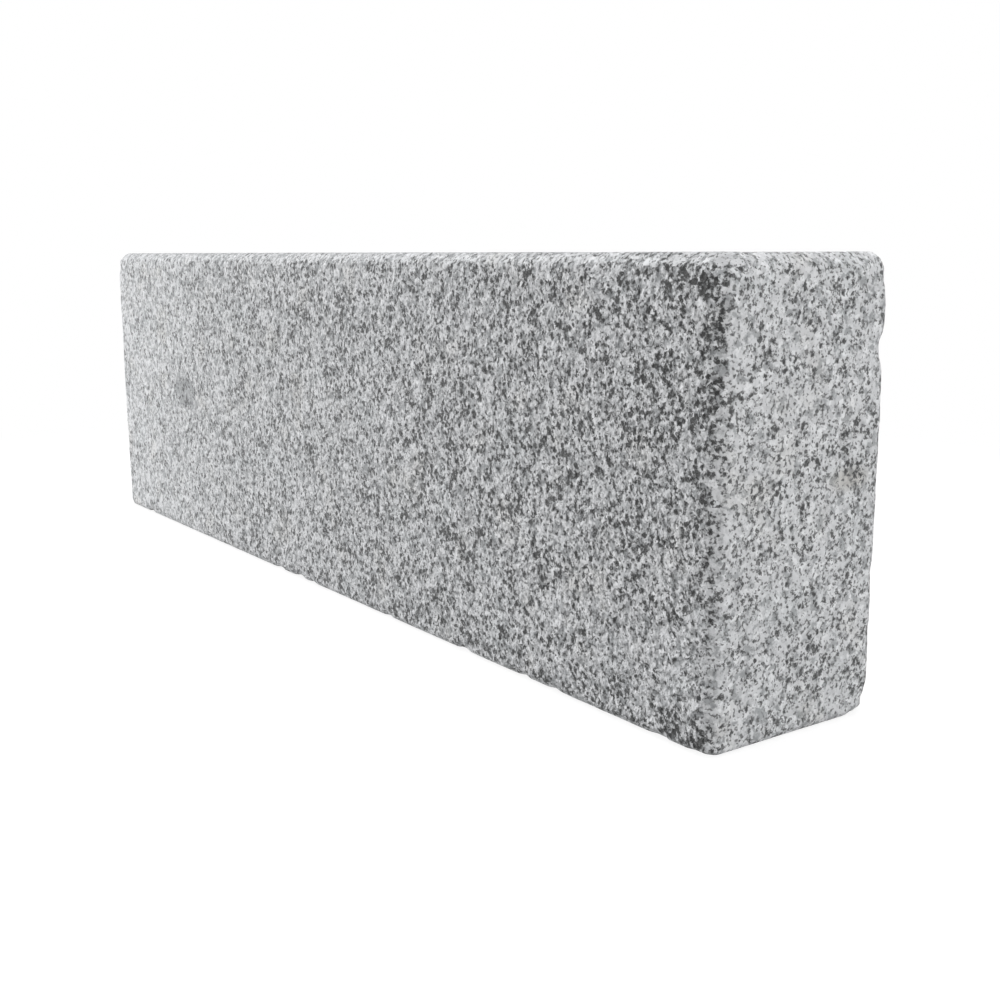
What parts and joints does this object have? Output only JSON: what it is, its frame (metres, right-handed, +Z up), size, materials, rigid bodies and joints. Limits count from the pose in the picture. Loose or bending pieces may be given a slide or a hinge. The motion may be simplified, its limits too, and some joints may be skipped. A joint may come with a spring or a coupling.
{
  "type": "granite kerb stone",
  "caption": "Long upright block of speckled light grey granite with rounded arrises, laid end to end to edge a road, path or bed.",
  "frame": {"origin": "middle of the bed, the face that the kerb stands on", "axes": "+X along the row of kerbs, +Y across the kerb to its haunched back, +Z up from the bed to the top"},
  "size_m": [1, 0.15, 0.3],
  "materials": {
    "granite": "light grey speckled granite, flamed rough on the long faces and top, finer on the ends"
  },
  "bodies": {
    "root": {"kerb_stone": "granite"}
  },
  "joints": []
}
